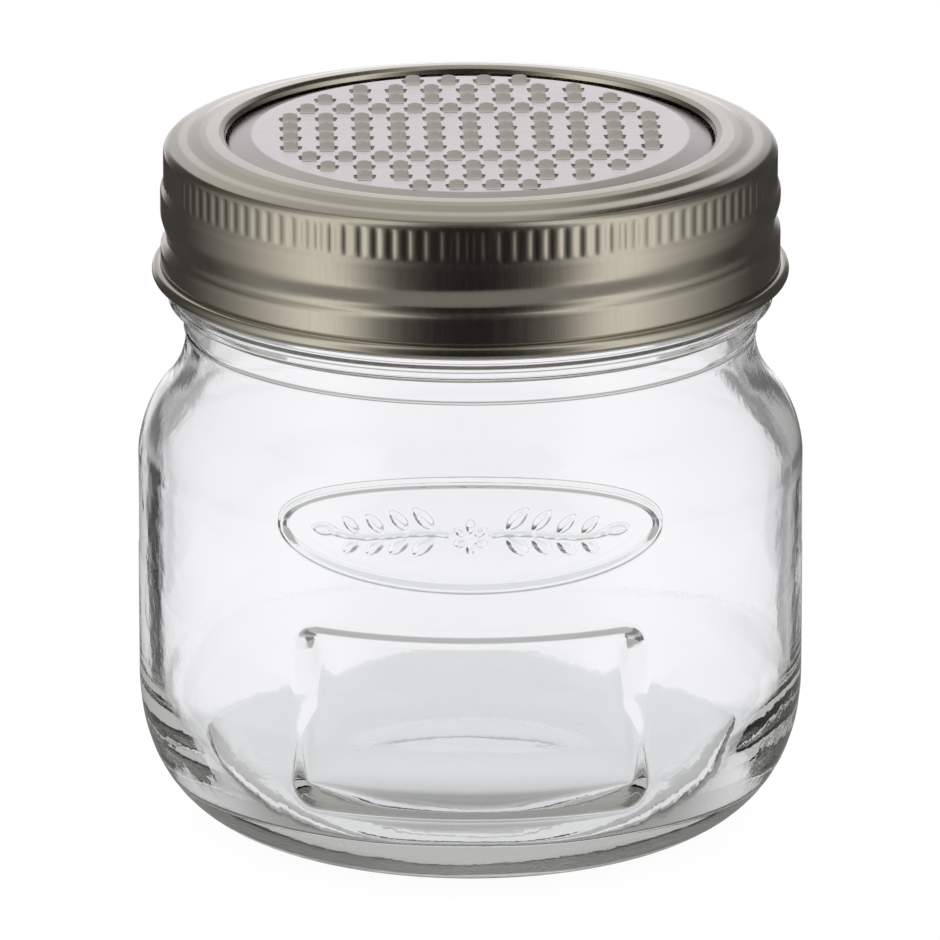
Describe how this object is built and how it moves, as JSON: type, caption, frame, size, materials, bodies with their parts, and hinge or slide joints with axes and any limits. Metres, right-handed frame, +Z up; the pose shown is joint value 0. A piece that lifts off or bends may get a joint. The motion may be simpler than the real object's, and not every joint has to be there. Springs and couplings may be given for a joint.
{
  "type": "storage jar",
  "caption": "Squat clear glass storage jar with a pressed label panel, closed by a knurled steel screw band that holds a raised grater disc",
  "frame": {"origin": "Middle of the box at the level of the foot ring, on the jar's axis", "axes": "+Z up the jar's axis, -Y out of the front with the pressed label panel, +X to the right seen from the front"},
  "size_m": [0.0838, 0.0838, 0.0896],
  "materials": {
    "glass": "gloss",
    "disc_steel": "satin",
    "band_steel": "satin"
  },
  "bodies": {
    "jar": {"glass_jar": "glass"},
    "disc": {"grater_disc": "disc_steel"},
    "band": {"screw_band": "band_steel"}
  },
  "joints": [
    {"name": "lid_lift", "type": "slide", "parent": "jar", "child": "disc", "axis": [0, 0, 1], "range_m": [0, 0.02]},
    {"name": "band_turn", "type": "hinge", "parent": "disc", "child": "band", "pos_m": [0, 0, 0.0707], "axis": [0, 0, 1], "range_deg": [0, 1801]}
  ],
  "couplings": [
    {"joint": "band_turn", "follows": "lid_lift", "rad_per_m": 1570.8}
  ]
}
